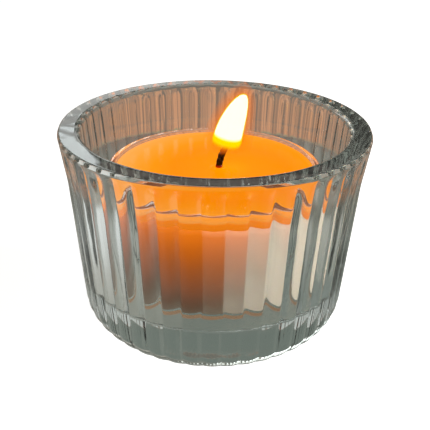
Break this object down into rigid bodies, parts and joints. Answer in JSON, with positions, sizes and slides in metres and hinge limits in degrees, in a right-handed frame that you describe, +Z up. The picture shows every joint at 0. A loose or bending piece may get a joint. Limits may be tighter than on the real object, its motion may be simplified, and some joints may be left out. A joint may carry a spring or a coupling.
{
  "type": "tealight holder",
  "caption": "Round reeded pressed-glass tealight holder with a thick base and flat rim, holding a lit tealight in a clear cup.",
  "frame": {"origin": "centre of the holder's underside, on the surface it stands on", "axes": "+Z up along the holder's axis, +X towards the side that the wick bends to"},
  "size_m": [0.0556, 0.0554, 0.037],
  "materials": {
    "clear_glass": "fire-polished pressed glass",
    "clear_plastic": "clear moulded polycarbonate",
    "solid_wax": "cast paraffin wax, lit from above",
    "liquid_wax": "melted wax, glowing in the flame's light",
    "wick_cotton": "braided cotton, charred at the burning end",
    "tinned_steel": "tinned sheet steel, pressed"
  },
  "bodies": {
    "holder": {"glass_holder": "clear_glass"},
    "tealight": {"tealight_cup": "clear_plastic"},
    "candle": {"wax": "solid_wax", "melted_wax": "liquid_wax", "wick": "wick_cotton", "wick_sustainer": "tinned_steel"}
  },
  "joints": [
    {"name": "tealight_lift", "type": "slide", "parent": "holder", "child": "tealight", "axis": [0, 0, 1], "range_m": [0, 0.045]},
    {"name": "candle_lift", "type": "slide", "parent": "tealight", "child": "candle", "axis": [0, 0, 1], "range_m": [0, 0.028]}
  ]
}
